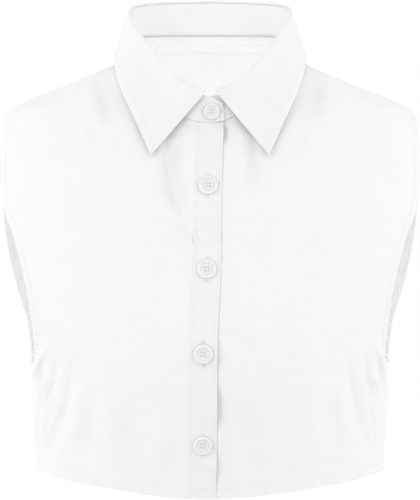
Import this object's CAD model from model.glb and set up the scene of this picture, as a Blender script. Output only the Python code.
"""Looks of a sleeveless half shirt with a pointed collar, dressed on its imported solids.

Metres in Blender; tables and named sizes are in millimetres, as in the part's own source.
The front faces -Y and +X is the viewer's right. Every cloth piece is a thin shell that is
laid on the same filled-out form as its solid, with its creases, turnings and sewing.
"""
import math

import bpy
import numpy as np
from mathutils import Matrix, Vector


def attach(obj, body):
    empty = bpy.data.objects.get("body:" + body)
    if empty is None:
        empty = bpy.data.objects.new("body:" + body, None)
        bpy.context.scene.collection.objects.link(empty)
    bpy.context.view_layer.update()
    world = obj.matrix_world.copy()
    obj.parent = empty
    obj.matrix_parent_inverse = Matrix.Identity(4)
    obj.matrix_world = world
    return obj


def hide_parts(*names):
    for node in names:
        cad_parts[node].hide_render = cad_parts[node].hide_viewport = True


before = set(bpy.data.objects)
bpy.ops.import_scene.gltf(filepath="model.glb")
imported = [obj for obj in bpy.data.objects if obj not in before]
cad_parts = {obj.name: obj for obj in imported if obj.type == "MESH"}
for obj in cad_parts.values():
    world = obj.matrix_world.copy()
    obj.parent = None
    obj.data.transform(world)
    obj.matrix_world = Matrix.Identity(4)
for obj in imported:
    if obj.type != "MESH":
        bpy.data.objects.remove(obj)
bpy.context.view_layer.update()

bpy.ops.object.select_all(action="DESELECT")

MM = 0.001
# Sizes of the make
WALL = 1.2
GAP = 0.3
BAND_HALF = 10.5
STAND_WALL = 1.4
LEAF_WALL = 1.1
TAPE_WIDTH = 14.0
TAPE_WALL = 1.0
TAPE_GAP = 0.65
LEAF_GAP = 0.5
LAP_RAISE = 1.7
LAP_BLEND = 30.0
UNDERARM_Z = -238.0
SHOULDER_Z = -43.0
BUTTON_R = 7.4
STAND_BUTTON_R = 6.4
STAND_BUTTON_X = -0.3
STAND_BUTTON_Z = -34.0
BUTTON_T = 2.8

# Sections of the form: height, half width, depth to the front, depth to the back,
# squareness of the front half and of the back half (2 is an ellipse)
FORM = (
    (60.0, 64.0, 42.0, 57.5, 2.00, 2.00),
    (24.0, 65.6, 42.0, 58.6, 2.00, 2.00),
    (14.0, 66.2, 42.5, 60.0, 2.00, 2.00),
    (9.0, 67.3, 43.0, 61.6, 2.00, 2.00),
    (4.5, 70.2, 44.0, 63.6, 2.00, 2.00),
    (0.0, 76.0, 44.5, 66.0, 2.00, 2.00),
    (-9.0, 96.0, 46.0, 70.0, 2.00, 2.05),
    (-19.0, 120.0, 48.0, 74.0, 2.02, 2.10),
    (-28.0, 143.0, 50.5, 77.0, 2.05, 2.15),
    (-34.0, 155.0, 53.0, 79.0, 2.08, 2.20),
    (-43.0, 164.0, 57.0, 82.0, 2.12, 2.25),
    (-60.0, 171.0, 66.0, 87.0, 2.20, 2.30),
    (-80.0, 173.3, 76.5, 91.5, 2.30, 2.38),
    (-113.0, 172.5, 88.0, 96.5, 2.40, 2.42),
    (-137.0, 169.5, 95.0, 98.2, 2.40, 2.42),
    (-160.0, 164.5, 101.0, 98.5, 2.40, 2.42),
    (-182.0, 157.8, 106.5, 98.0, 2.38, 2.40),
    (-202.0, 150.6, 110.0, 96.5, 2.37, 2.39),
    (-219.0, 145.6, 111.0, 95.0, 2.36, 2.37),
    (-238.0, 142.0, 110.0, 93.5, 2.35, 2.36),
    (-275.0, 141.0, 104.0, 90.0, 2.35, 2.36),
    (-305.0, 139.0, 99.0, 88.0, 2.35, 2.36),
    (-340.0, 137.0, 95.0, 86.5, 2.35, 2.36),
)

# Half width and depths of the neck in plan
NECK = (67.0, 56.5, 58.5)

# Neckline: turn round the form, height
NECKLINE = (
    (0.0, -42.0),
    (0.06, -40.6),
    (0.125, -35.8),
    (0.25, -23.0),
    (0.375, -11.8),
    (0.5, -4.7),
    (0.625, 0.0),
    (0.75, 3.9),
    (0.875, 7.6),
    (1.0, 11.5),
    (1.1, 15.0),
    (1.2, 18.4),
    (1.3, 20.8),
    (1.45, 22.3),
    (1.7, 22.6),
    (2.0, 22.6),
)

# Armhole edge: height, distance in front of the side line, distance behind it
ARMHOLE = (
    (-43.0, 0.0, 0.0),
    (-44.5, 8.0, 7.5),
    (-49.0, 14.8, 15.5),
    (-54.0, 18.5, 21.0),
    (-60.0, 22.0, 24.0),
    (-68.0, 26.3, 27.6),
    (-76.0, 29.8, 30.0),
    (-85.0, 32.5, 31.1),
    (-95.0, 35.2, 32.0),
    (-105.0, 38.3, 32.6),
    (-112.0, 41.2, 33.2),
    (-119.0, 45.0, 33.8),
    (-127.0, 49.0, 33.4),
    (-137.0, 52.7, 32.5),
    (-150.0, 56.3, 31.9),
    (-160.0, 58.0, 30.7),
    (-175.0, 59.3, 29.3),
    (-190.0, 57.5, 27.2),
    (-205.0, 53.5, 24.5),
    (-215.0, 49.0, 20.3),
    (-223.0, 42.0, 15.0),
    (-230.0, 31.0, 9.6),
    (-235.0, 16.5, 5.0),
    (-238.0, 0.0, 0.0),
)

# Shoulder seam, from the neck out: height, distance in front of the ridge
SHOULDER = (
    (6.6, 5.0),
    (0.0, 5.0),
    (-9.0, 4.0),
    (-19.0, 2.0),
    (-28.0, 0.6),
    (-36.0, 0.0),
    (-43.0, 0.0),
)

# Hem: share of the way from the centre front to the side, then on to the centre back, height
HEM = (
    (0.00, -331.0),
    (0.15, -330.0),
    (0.33, -326.5),
    (0.55, -322.5),
    (0.80, -320.5),
    (1.00, -324.0),
    (1.25, -324.0),
    (2.00, -325.0),
)

# Centre front line: height, place to the side
CENTRE = (
    (-20.0, 0.0),
    (-33.0, 0.0),
    (-89.0, -1.4),
    (-152.0, -2.4),
    (-214.0, -5.0),
    (-283.0, -5.4),
    (-335.0, -6.0),
)

# Top of the stand: angle round from the centre front, half width, depth, height
STAND_TOP = (
    (0.0, 61.0, 56.5, -22.5),
    (18.0, 61.0, 56.5, -13.5),
    (36.0, 61.5, 56.5, 3.0),
    (56.0, 62.0, 56.5, 21.5),
    (75.0, 62.2, 56.5, 35.0),
    (90.0, 62.2, 56.5, 41.5),
    (105.0, 62.2, 56.5, 45.4),
    (140.0, 62.2, 57.0, 48.4),
    (180.0, 62.2, 57.5, 49.6),
)

# Outer edge of the collar: share from the centre back to the point, x, y, z
LEAF_EDGE = (
    (0.00, 0.0, 71.0, 6.0),
    (0.13, 26.5, 66.5, 6.0),
    (0.27, 50.5, 51.0, 6.5),
    (0.40, 68.0, 27.0, 8.2),
    (0.50, 74.6, 4.0, 6.6),
    (0.59, 74.8, -14.0, 2.6),
    (0.69, 71.8, -34.0, -9.5),
    (0.79, 66.0, -49.0, -24.0),
    (0.89, 57.0, -61.0, -43.0),
    (1.00, 45.5, -76.5, -67.3),
)

# Large folds of the fronts: along the front from the middle and height at each end,
# half width of the fold, height of the fold (minus is a trough)
FRONT_FOLDS = (
    (-104.0, -22.0, -88.0, -58.0, 13.0, -2.4),
    (104.0, -22.0, 90.0, -58.0, 13.0, -2.0),
    (-35.0, -56.0, -31.0, -92.0, 8.0, -2.0),
    (-31.0, -90.0, -15.0, -119.0, 8.0, -2.0),
    (-60.0, -74.0, -44.0, -130.0, 12.0, 1.2),
    (36.0, -64.0, 38.0, -100.0, 9.0, -1.6),
    (-156.0, -252.0, -166.0, -322.0, 6.0, -2.2),
    (-142.0, -246.0, -152.0, -300.0, 6.0, 1.8),
    (-128.0, -240.0, -140.0, -310.0, 9.0, -2.2),
    (156.0, -250.0, 166.0, -322.0, 6.0, -2.2),
    (142.0, -244.0, 152.0, -302.0, 6.0, 1.8),
    (128.0, -240.0, 140.0, -308.0, 9.0, -2.2),
)

# Large folds of the back: along the back from the middle and height at each end,
# half width, height
BACK_FOLDS = (
    (-62.0, -60.0, -54.0, -230.0, 17.0, 1.6),
    (60.0, -70.0, 50.0, -240.0, 17.0, 1.5),
    (-22.0, -190.0, -26.0, -324.0, 15.0, 2.0),
    (20.0, -200.0, 26.0, -324.0, 15.0, 1.8),
    (-120.0, -236.0, -132.0, -318.0, 9.0, 2.0),
    (118.0, -236.0, 130.0, -318.0, 9.0, 2.0),
    (-98.0, -240.0, -104.0, -318.0, 8.0, -1.8),
    (96.0, -240.0, 102.0, -318.0, 8.0, -1.8),
)

# Gapes of the lapped edge between the buttons: height, half length, lift
LAP_GAPES = (
    (-51.5, 5.2, 2.2),
    (-217.5, 9.0, 1.7),
    (-258.0, 13.0, 2.3),
    (-304.5, 9.0, 1.7),
)

# Buttons down the front: height, radius
BUTTONS = (
    (-91.0, BUTTON_R),
    (-153.6, BUTTON_R),
    (-216.6, BUTTON_R),
    (-287.5, BUTTON_R),
)


# Smooth curves through the tables
def smooth_curve(xs, ys):
    """Return a monotone cubic through the rows, flat slopes kept at turning points."""
    xs = np.asarray(xs, float)
    ys = np.asarray(ys, float)
    if xs[0] > xs[-1]:
        xs = xs[::-1]
        ys = ys[::-1]
    step = np.diff(xs)
    slope = np.diff(ys) / step
    tangent = np.zeros_like(ys)
    tangent[0] = slope[0]
    tangent[-1] = slope[-1]
    for k in range(1, len(xs) - 1):
        if slope[k - 1] * slope[k] > 0:
            w1 = 2 * step[k] + step[k - 1]
            w2 = step[k] + 2 * step[k - 1]
            tangent[k] = (w1 + w2) / (w1 / slope[k - 1] + w2 / slope[k])

    def value(x):
        x = np.clip(np.asarray(x, float), xs[0], xs[-1])
        k = np.clip(np.searchsorted(xs, x, side="right") - 1, 0, len(xs) - 2)
        h = step[k]
        t = (x - xs[k]) / h
        a = (1 + 2 * t) * (1 - t) ** 2
        b = t * (1 - t) ** 2
        c = t * t * (3 - 2 * t)
        d = t * t * (t - 1)
        return a * ys[k] + b * h * tangent[k] + c * ys[k + 1] + d * h * tangent[k + 1]

    return value


def table_curves(table):
    """One curve for each column after the first."""
    rows = list(zip(*table))
    return [smooth_curve(rows[0], column) for column in rows[1:]]


HALF_W, FRONT_D, BACK_D, FRONT_N, BACK_N = table_curves(FORM)
ARM_FRONT, ARM_BACK = table_curves(ARMHOLE)
SEAM_FORWARD, = table_curves(SHOULDER)
HEM_Z, = table_curves(HEM)
CENTRE_X, = table_curves(CENTRE)
TOP_W, TOP_D, TOP_Z = table_curves(STAND_TOP)
EDGE_X, EDGE_Y, EDGE_Z = table_curves(LEAF_EDGE)


def smoothstep(t):
    t = np.clip(t, 0.0, 1.0)
    return t * t * (3 - 2 * t)


# The form: u is 0 at the centre front, 1 at the side, 2 at the centre back
RAYS = np.linspace(0.0, math.pi / 2, 241)
LEVELS = np.linspace(-345.0, 60.0, 271)
SHARES = np.linspace(0.0, 1.0, 97)


def radius(ray, width, depth, power):
    """Reach of a section in the direction of the ray, from its depth axis."""
    across = np.abs(np.sin(ray)) / width
    along = np.abs(np.cos(ray)) / depth
    return (across ** power + along ** power) ** (-1.0 / power)


def share_table(depth, power):
    """Angle of the ray for equal steps round each quarter section, and its length."""
    rays = []
    lengths = []
    for z in LEVELS:
        r = radius(RAYS, HALF_W(z), depth(z), power(z))
        x = r * np.sin(RAYS)
        y = r * np.cos(RAYS)
        run = np.concatenate(([0.0], np.cumsum(np.hypot(np.diff(x), np.diff(y)))))
        rays.append(np.interp(SHARES * run[-1], run, RAYS))
        lengths.append(run[-1])
    return np.array(rays), np.array(lengths)


FRONT_RAYS, FRONT_RUN = share_table(FRONT_D, FRONT_N)
BACK_RAYS, BACK_RUN = share_table(BACK_D, BACK_N)


def front_run(z):
    return np.interp(z, LEVELS, FRONT_RUN)


def back_run(z):
    return np.interp(z, LEVELS, BACK_RUN)


def look_up(table, share, z):
    row = np.clip((z - LEVELS[0]) / (LEVELS[1] - LEVELS[0]), 0, len(LEVELS) - 1.001)
    col = np.clip(share * (len(SHARES) - 1), 0, len(SHARES) - 1.001)
    r0 = row.astype(int)
    c0 = col.astype(int)
    fr = row - r0
    fc = col - c0
    low = table[r0, c0] * (1 - fc) + table[r0, c0 + 1] * fc
    high = table[r0 + 1, c0] * (1 - fc) + table[r0 + 1, c0 + 1] * fc
    return low * (1 - fr) + high * fr


def form_point(u, z):
    """Point of the form at turn u and height z."""
    u = np.asarray(u, float)
    z = np.asarray(z, float)
    u, z = np.broadcast_arrays(u, z)
    turn = (u + 2.0) % 4.0 - 2.0
    side = np.where(turn < 0, -1.0, 1.0)
    turn = np.abs(turn)
    front = turn <= 1.0
    share = np.where(front, turn, 2.0 - turn)
    ray = np.where(front, look_up(FRONT_RAYS, share, z), look_up(BACK_RAYS, share, z))
    depth = np.where(front, FRONT_D(z), BACK_D(z))
    power = np.where(front, FRONT_N(z), BACK_N(z))
    r = radius(ray, HALF_W(z), depth, power)
    x = side * r * np.sin(ray)
    y = np.where(front, -1.0, 1.0) * r * np.cos(ray)
    return np.stack((x, y, z), axis=-1)


def form_value(x, y, z):
    depth = np.where(y <= 0, FRONT_D(z), BACK_D(z))
    power = np.where(y <= 0, FRONT_N(z), BACK_N(z))
    return (np.abs(x) / HALF_W(z)) ** power + (np.abs(y) / depth) ** power - 1.0


def form_normal(point):
    x = point[..., 0]
    y = point[..., 1]
    z = point[..., 2]
    h = 0.4
    gx = (form_value(x + h, y, z) - form_value(x - h, y, z)) / (2 * h)
    gy = (form_value(x, y + h, z) - form_value(x, y - h, z)) / (2 * h)
    gz = (form_value(x, y, z + h) - form_value(x, y, z - h)) / (2 * h)
    gy = np.where(np.abs(y) < h, (form_value(x, y, z + 0 * y) * 0), gy)
    normal = np.stack((gx, gy, gz), axis=-1)
    return normal / np.linalg.norm(normal, axis=-1, keepdims=True)


def ridge(s, z, row):
    """Soft ridge or trough along a straight line, fading at its ends and sides."""
    s0, z0, s1, z1, half, height = row
    ds = s1 - s0
    dz = z1 - z0
    length = math.hypot(ds, dz)
    along = ((s - s0) * ds + (z - z0) * dz) / length
    across = ((s - s0) * dz - (z - z0) * ds) / length
    fade = 0.35 * length
    ends = smoothstep((along + fade) / (2 * fade)) * smoothstep((length - along + fade) / (2 * fade))
    return height * ends * np.exp(-((across / half) ** 2))


def front_place(u, z):
    """Signed run from the middle of the front, and how much of the front this is."""
    turn = (np.asarray(u, float) + 2.0) % 4.0 - 2.0
    return turn * front_run(z)


def back_place(u, z):
    turn = (np.asarray(u, float)) % 4.0 - 2.0
    return -turn * back_run(z)


def drape(u, z):
    """Outward shift of the cloth by its large folds."""
    turn = np.abs((np.asarray(u, float) + 2.0) % 4.0 - 2.0)
    s = front_place(u, z)
    total = np.zeros(np.broadcast(u, z).shape)
    for row in FRONT_FOLDS:
        total = total + ridge(s, z, row) * smoothstep((1.08 - turn) / 0.16)
    b = back_place(u, z)
    for row in BACK_FOLDS:
        total = total + ridge(b, z, row) * smoothstep((turn - 1.0) / 0.2)
    return total


def lap_raise(u, z):
    """Raise of the viewer's left front, which laps over the right one."""
    away = CENTRE_X(z) - front_place(u, z) - BAND_HALF
    return LAP_RAISE * (1.0 - smoothstep(away / LAP_BLEND))


def skin(u, z, off):
    """Points at a distance off outside the draped form."""
    u, z, off = np.broadcast_arrays(np.asarray(u, float), np.asarray(z, float), np.asarray(off, float))
    base = form_point(u, z)
    return base + form_normal(base) * (drape(u, z) + off)[..., None]


# The neckline
NECK_CURVE, = table_curves(NECKLINE)
NECK_TURNS = np.linspace(0.0, 2.0, 161)
NECK_HEIGHTS = NECK_CURVE(NECK_TURNS)


def neck_z(u):
    turn = np.abs((np.asarray(u, float) + 2.0) % 4.0 - 2.0)
    return NECK_CURVE(turn)


def turn_at(z, forward):
    """Turn of the point of the front half at this height and distance forward of the side."""
    low = np.full(np.shape(z), 0.3)
    high = np.full(np.shape(z), 1.0)
    for _ in range(40):
        mid = (low + high) / 2
        ahead = -form_point(mid, z)[..., 1] > forward
        low = np.where(ahead, mid, low)
        high = np.where(ahead, high, mid)
    return (low + high) / 2


def turn_behind(z, behind):
    low = np.full(np.shape(z), 1.0)
    high = np.full(np.shape(z), 1.7)
    for _ in range(40):
        mid = (low + high) / 2
        past = form_point(mid, z)[..., 1] > behind
        high = np.where(past, mid, high)
        low = np.where(past, low, mid)
    return (low + high) / 2


# Edges of the pieces as lists of (turn, height)
def run_along(path):
    """Distance run along a path of (turn, height) on the form."""
    points = form_point(path[:, 0], path[:, 1])
    steps = np.linalg.norm(np.diff(points, axis=0), axis=1)
    return np.concatenate(([0.0], np.cumsum(steps)))


def even(path, count, ease=1.0):
    """Resample a path to equal steps along the form, or to steps that shorten to its end."""
    run = run_along(path)
    at = run[-1] * (1.0 - (1.0 - np.linspace(0.0, 1.0, count + 1)) ** ease)
    return np.stack((np.interp(at, run, path[:, 0]), np.interp(at, run, path[:, 1])), axis=1)


def join(*paths):
    parts = [paths[0]]
    for path in paths[1:]:
        parts.append(path[1:])
    return np.concatenate(parts)


def find_seam_neck():
    """Neck end of the shoulder seam: on the neckline, its set distance forward."""
    turns = np.linspace(0.6, 1.0, 400)
    heights = neck_z(turns)
    points = form_point(turns, heights)
    gap = -points[:, 1] - SEAM_FORWARD(heights)
    k = int(np.argmin(np.abs(gap)))
    return turns[k], heights[k]


SEAM_TURN, SEAM_Z = find_seam_neck()


def shoulder_path(shift):
    z = np.linspace(SEAM_Z, SHOULDER_Z, 60)
    u = turn_at(z, np.maximum(SEAM_FORWARD(z), 0.0))
    u[0] = SEAM_TURN
    u = u + shift / front_run(z)
    return np.stack((u, z), axis=1)


def armhole_path(front, shift):
    """From the underarm up to the shoulder point."""
    z = UNDERARM_Z + (SHOULDER_Z - UNDERARM_Z) * (1 - np.cos(np.linspace(0, math.pi, 120))) / 2
    u = turn_at(z, ARM_FRONT(z)) if front else turn_behind(z, ARM_BACK(z))
    u[0] = 1.0
    u[-1] = 1.0
    return np.stack((u + shift / front_run(z), z), axis=1)


def hem_height(u):
    turn = np.abs((np.asarray(u, float) + 2.0) % 4.0 - 2.0)
    return HEM_Z(turn)


def band_turn(z, side, edge):
    """Turn of a line at a set run from the centre front line."""
    return (side * CENTRE_X(z) + edge) / front_run(z)


def neck_path(start, end):
    u = np.linspace(start, end, 160)
    return np.stack((u, neck_z(u)), axis=1)


def coons(bottom, top, left, right, s, t):
    """Fill four edges with a smooth patch; s and t are the shares along them."""
    s = s[None, :, None]
    t = t[:, None, None]
    ruled_a = (1 - t) * bottom[None, :, :] + t * top[None, :, :]
    ruled_b = (1 - s) * left[:, None, :] + s * right[:, None, :]
    corners = ((1 - s) * (1 - t) * bottom[0] + s * (1 - t) * bottom[-1]
               + (1 - s) * t * top[0] + s * t * top[-1])
    return ruled_a + ruled_b - corners


def shares(first, second):
    """Mean share of the way along two facing edges."""
    run_a = run_along(first)
    run_b = run_along(second)
    return (run_a / run_a[-1] + run_b / run_b[-1]) / 2


def to_flat_back(path):
    """From (turn, height) to (run round from the centre back, height)."""
    side = np.where(path[:, 0] <= 2.0, 1.0, -1.0)
    turn = np.where(path[:, 0] <= 2.0, path[:, 0], 4.0 - path[:, 0])
    z = path[:, 1]
    run = np.where(turn >= 1.0, (2.0 - turn) * back_run(z), back_run(z) + (1.0 - turn) * front_run(z))
    return np.stack((side * run, z), axis=1)


def from_flat_back(run, z):
    away = np.abs(run)
    turn = np.where(away <= back_run(z), 2.0 - away / back_run(z),
                    1.0 - (away - back_run(z)) / front_run(z))
    return np.where(run >= 0, turn, 4.0 - turn)


def front_patch(side, columns, band_rows, neck_rows, side_rows, arm_rows):
    """Grid of a front; side is 1 for the viewer's right and -1 for the left."""
    edge = BAND_HALF + GAP / 2
    low_u = 0.07
    for _ in range(8):
        low_u = band_turn(hem_height(low_u), side, edge)
    high_u = 0.07
    for _ in range(8):
        high_u = band_turn(neck_z(high_u), side, edge)
    z = np.linspace(hem_height(low_u), neck_z(high_u), 60)
    band = np.stack((band_turn(z, side, edge), z), axis=1)
    band[0, 0] = low_u
    band[-1, 0] = high_u
    seam_end = SEAM_TURN - 0.2 / front_run(SEAM_Z)
    left = join(even(band, band_rows), even(neck_path(high_u, seam_end), neck_rows))
    side_u = 1.0 - 0.2 / front_run(UNDERARM_Z)
    zs = np.linspace(hem_height(side_u), UNDERARM_Z, 20)
    seam = np.stack((np.full(20, side_u), zs), axis=1)
    right = join(even(seam, side_rows), even(armhole_path(True, -0.2), arm_rows))
    bottom_u = np.linspace(low_u, side_u, 80)
    bottom = even(np.stack((bottom_u, hem_height(bottom_u)), axis=1), columns)
    top = even(shoulder_path(-0.2), columns)
    for path, start, end in ((left, bottom[0], top[0]), (right, bottom[-1], top[-1])):
        path[0] = start
        path[-1] = end
    grid = coons(bottom, top, left, right, shares(bottom, top), shares(left, right))
    return side * grid[..., 0], grid[..., 1]


def back_patch(seam_cols, neck_cols, side_rows, arm_rows):
    side_u = 1.0 + 0.2 / front_run(UNDERARM_Z)
    zs = np.linspace(hem_height(side_u), UNDERARM_Z, 20)
    seam = np.stack((np.full(20, side_u), zs), axis=1)
    left = join(even(seam, side_rows), even(armhole_path(False, 0.2), arm_rows, 1.45))
    shoulder = even(shoulder_path(0.2), seam_cols)[::-1]
    half_neck = even(neck_path(shoulder[-1, 0], 2.0), neck_cols)
    half = join(shoulder, half_neck)
    mirror = half[::-1].copy()
    mirror[:, 0] = 4.0 - mirror[:, 0]
    top = join(half, mirror)
    right = left.copy()
    right[:, 0] = 4.0 - right[:, 0]
    bottom_u = np.linspace(side_u, 4.0 - side_u, 160)
    bottom = even(np.stack((bottom_u, hem_height(bottom_u)), axis=1), len(top) - 1)
    for path, start, end in ((left, bottom[0], top[0]), (right, bottom[-1], top[-1])):
        path[0] = start
        path[-1] = end
    edges = [to_flat_back(path) for path in (bottom, top, left, right)]
    grid = coons(*edges, shares(bottom, top), shares(left, right))
    return from_flat_back(grid[..., 0], grid[..., 1]), grid[..., 1]


def lap_lift(z):
    """Lift of the free lapped edge between the buttons."""
    total = np.zeros(np.shape(z))
    for height, half, lift in LAP_GAPES:
        total = total + lift * np.exp(-(((z - height) / half) ** 2))
    return total


def band_patch(upper, columns, rows):
    """Grid of a button band; the upper one is lapped over the lower one."""
    side = -1.0 if upper else 1.0
    t = np.linspace(0, 1, rows + 1)[:, None]
    s = np.linspace(-1, 1, columns + 1)[None, :]
    reach = BAND_HALF - GAP / 2
    z_low = hem_height(0.0)
    z_high = neck_z(0.0)
    z = z_low + (z_high - z_low) * t + 0 * s
    for _ in range(6):
        u = band_turn(z, side, reach * s)
        z = hem_height(u) + (neck_z(u) - hem_height(u)) * t
    free = smoothstep((-s - 0.3) / 0.7)
    lift = lap_lift(z) * free if upper else 0 * z
    return side * u, z, lift


# The stand and the collar
def top_point(angle):
    """Top inner edge of the stand at an angle from the centre front, signed to the right."""
    turn = np.degrees(np.abs(angle))
    x = np.sign(angle) * TOP_W(turn) * np.sin(np.abs(angle))
    y = -TOP_D(turn) * np.cos(angle)
    return np.stack((x, y, TOP_Z(turn)), axis=-1)


def outward(angle):
    """Level direction away from the neck at this angle."""
    x = np.sin(angle) / 63.0
    y = -np.cos(angle) / 57.0
    flat = np.stack((x, y, np.zeros_like(x)), axis=-1)
    return flat / np.linalg.norm(flat, axis=-1, keepdims=True)


def neck_turn(angle):
    """Turn of the neckline point that lies at this angle in plan."""
    turns = NECK_TURNS
    points = form_point(turns, NECK_HEIGHTS)
    depth = np.where(points[:, 1] < 0, NECK[1], NECK[2])
    angles = np.arctan2(np.abs(points[:, 0]) / NECK[0], -points[:, 1] / depth)
    return np.sign(angle) * np.interp(np.abs(angle), angles, turns)


STAND_LAP = 2.15
LAP_REACH = 9.5


def stand_shift(angle_run):
    """How far the lapped end stands out, by its run from the centre front."""
    return STAND_LAP * (1.0 - smoothstep((-angle_run - 6.0) / 36.0))


def stand_patch(columns, rows):
    """Grid of the stand: from the end under the lap round the back to the end on top."""
    start = -LAP_REACH / 61.0
    end = 2 * math.pi + LAP_REACH / 61.0
    sweep = np.linspace(start, end, columns + 1)
    angle = np.where(sweep > math.pi, sweep - 2 * math.pi, sweep)
    run = (sweep - 2 * math.pi) * 61.0
    over = sweep > math.pi
    shift = np.where(over, stand_shift(run), 0.0)
    out = outward(angle)
    u = neck_turn(angle)
    foot = form_point(u, neck_z(u))
    normal = form_normal(foot)
    raise_by = (drape(u, neck_z(u)) + WALL + GAP)[:, None]
    low = foot + normal * raise_by
    low = low + out * shift[:, None]
    under = np.where(over, 0.0, 1.0 - smoothstep((sweep * 61.0 - 11.5) / 9.0))
    low[:, 2] = low[:, 2] + 1.4 * under - 0.15 * shift
    high = top_point(angle) + out * shift[:, None]
    high[:, 2] = high[:, 2] - 6.0 * smoothstep(run / LAP_REACH)
    t = np.linspace(0, 1, rows + 1)[:, None, None]
    return low[None] * (1 - t) + high[None] * t, out


def bezier(p0, p1, p2, p3, t):
    return ((1 - t) ** 3 * p0 + 3 * (1 - t) ** 2 * t * p1 + 3 * (1 - t) * t * t * p2 + t ** 3 * p3)


ROLL = 1.0
ROLL_FRONT = 1.9
LEAF_END_LEFT = 5.0
LEAF_END_RIGHT = 4.0


def leaf_patch(columns, roll_rows, blade_rows):
    """Grid of the collar's middle surface, from the stand's top over the roll to the edge."""
    c = np.linspace(-1, 1, columns + 1)
    c = np.sign(c) * np.abs(c)
    end = np.where(c < 0, LEAF_END_LEFT, LEAF_END_RIGHT) / 61.0
    angle = np.sign(c) * (math.pi - np.abs(c) * (math.pi - end))
    angle = np.where(c == 0, math.pi, angle)
    angle = -angle
    side = np.where(angle < 0, -1.0, 1.0)
    run = np.abs(angle) * 61.0
    shift = np.where(side < 0, stand_shift(-run), 0.0)
    out = outward(angle)
    start = top_point(angle) + out * (shift + STAND_WALL / 2)[:, None]
    start[:, 2] = start[:, 2] + LEAF_GAP
    up = np.array([0.0, 0.0, 1.0])
    share = np.abs(c)
    roll = (ROLL + (ROLL_FRONT - ROLL) * smoothstep((share - 0.80) / 0.16))[:, None]
    rows = []
    for k in range(roll_rows + 1):
        a = math.pi * k / roll_rows
        rows.append(start + out * roll * (1 - math.cos(a)) + up * roll * math.sin(a))
    edge = np.stack((side * EDGE_X(share), EDGE_Y(share), EDGE_Z(share)), axis=-1)
    top = rows[-1]
    chord = edge - top
    level = chord - out * np.sum(chord * out, axis=1, keepdims=True)
    length = np.linalg.norm(chord, axis=1, keepdims=True)
    flat = smoothstep((share - 0.55) / 0.35)[:, None]
    first = top + level * 0.26 + out * length * 0.03
    steep = edge + up * length * 0.30 + out * length * 0.03
    along = edge - chord * 0.30 + out * length * 0.02
    last = steep * (1 - flat) + along * flat
    for k in range(1, blade_rows + 1):
        rows.append(bezier(top, first, last, edge, k / blade_rows))
    return np.array(rows)


def tape_patch(columns, rows):
    """Grid of the neck tape, down from the back neckline by its width along the cloth."""
    turns = np.linspace(1.2, 2.8, columns + 1)
    down = np.linspace(0.3, 24.0, 80)
    u = np.zeros((rows + 1, columns + 1))
    z = np.zeros((rows + 1, columns + 1))
    for k, turn in enumerate(turns):
        heights = neck_z(turn) - down
        points = form_point(np.full(80, turn), heights)
        run = np.concatenate(([0.0], np.cumsum(np.linalg.norm(np.diff(points, axis=0), axis=1))))
        u[:, k] = turn
        z[:, k] = np.interp(np.linspace(0, TAPE_WIDTH, rows + 1), run, heights)
    return u, z


def grid_normals(points):
    """Unit normals of a grid of points from its own neighbours."""
    du = np.gradient(points, axis=1)
    dv = np.gradient(points, axis=0)
    normal = np.cross(du, dv)
    return normal / np.linalg.norm(normal, axis=-1, keepdims=True)


# Sizes that the looks add to the make
CLOTH_THICK = 0.45
TURNED_THICK = 0.95
BAND_THICK = 0.85
COLLAR_THICK = 1.1
THREAD_R = 0.19
STITCH_LENGTH = 2.1
STITCH_STEP = 2.6
HEM_STITCH = 6.6
ARM_STITCH = 5.4
LEAF_STITCH = 6.0
BAND_STITCH = 2.2

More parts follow.
